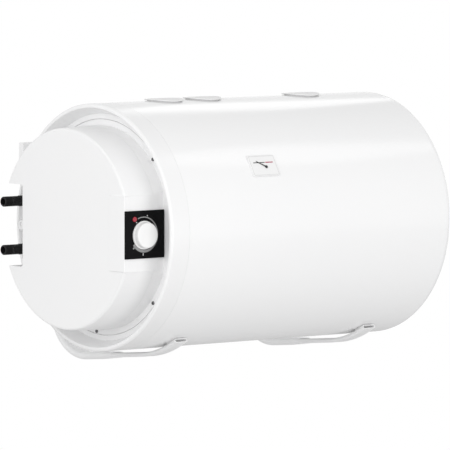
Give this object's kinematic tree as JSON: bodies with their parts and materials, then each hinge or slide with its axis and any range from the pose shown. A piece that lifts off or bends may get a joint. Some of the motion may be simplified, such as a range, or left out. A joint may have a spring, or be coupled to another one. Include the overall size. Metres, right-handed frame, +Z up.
{
  "type": "tank water heater",
  "caption": "Horizontal wall-hung electric tank water heater: white drum with a side service cover, control knob, thermometer, port caps, pipe connections and tube wall brackets.",
  "frame": {"origin": "centre of the four wall bolts on the wall plane, at the height of the tank's axis", "axes": "+X along the tank's axis away from the service cover, +Y into the wall, +Z up; the front faces -Y"},
  "size_m": [0.859, 0.547, 0.5508],
  "materials": {
    "white_enamel": "gloss white enamel",
    "white_plastic": "satin white moulding",
    "cap_white": "gloss white moulding",
    "knob_white": "gloss white moulding",
    "bracket_white": "white powder coat",
    "white_rubber": "matt",
    "grey_rubber": "matt",
    "black_plastic": "semi-gloss black",
    "nipple_black": "matt black",
    "grey_plastic": "matt moulding",
    "red_lens": "clear red moulding",
    "button_red": "matt moulding",
    "dial_white": "printed white plate",
    "needle_black": "matt black paint",
    "zinc_steel": "zinc plated",
    "vessel_enamel": "glass enamel on steel",
    "copper": "drawn copper tube",
    "magnesium": "as cast",
    "foam": "cut foam"
  },
  "bodies": {
    "tank": {"jacket": "white_enamel", "right_end_cap": "white_enamel", "end_ring": "white_plastic", "cable_grommet": "white_plastic", "cover_base": "white_plastic", "service_cover": "white_plastic", "cover_screws": "zinc_steel", "control_panel": "black_plastic", "indicator_lens": "red_lens", "indicator_lamp": "grey_plastic", "thermostat": "black_plastic", "inner_vessel": "vessel_enamel", "bracket_bosses": "zinc_steel", "port_sockets": "zinc_steel", "port_plugs": "zinc_steel", "left_port_cap": "cap_white", "middle_port_cap": "cap_white", "right_port_cap": "cap_white", "cold_inlet_pipe": "zinc_steel", "hot_outlet_pipe": "zinc_steel", "cold_inlet_nipple": "nipple_black", "hot_outlet_nipple": "nipple_black", "flange_plate": "zinc_steel", "flange_gasket": "grey_rubber", "flange_bolts": "zinc_steel", "heating_elements": "copper", "sensor_pocket": "copper", "anode_rod": "magnesium", "device_strap": "zinc_steel", "safety_cutout": "grey_plastic", "terminal_block": "grey_plastic", "thermometer_plate": "dial_white", "thermometer_stem": "zinc_steel", "needle_pin": "zinc_steel", "left_wall_leg": "bracket_white", "right_wall_leg": "bracket_white", "left_cradle_arm": "bracket_white", "right_cradle_arm": "bracket_white", "left_saddle_pad": "white_rubber", "right_saddle_pad": "white_rubber", "wall_rail": "bracket_white", "rail_end_plugs": "white_plastic", "bracket_spacers": "white_plastic", "bracket_bolts": "zinc_steel", "insulation": "foam"},
    "knob": {"temperature_knob": "knob_white", "knob_spindle": "zinc_steel"},
    "needle": {"thermometer_needle": "needle_black"},
    "reset": {"reset_button": "button_red"}
  },
  "joints": [
    {"name": "knob_turn", "type": "hinge", "parent": "tank", "child": "knob", "pos_m": [-0.419, -0.4907, -0.003], "axis": [0, 1, 0], "range_deg": [0, 270]},
    {"name": "needle_swing", "type": "hinge", "parent": "tank", "child": "needle", "pos_m": [-0.1164, -0.51784, 0.12479], "axis": [0, 0.8686, -0.4955], "range_deg": [0, 114], "stiffness_Nm_per_rad": 0.0006},
    {"name": "reset_press", "type": "slide", "parent": "tank", "child": "reset", "axis": [1, 0, 0], "range_m": [0, 0.002], "stiffness_N_per_m": 900}
  ]
}
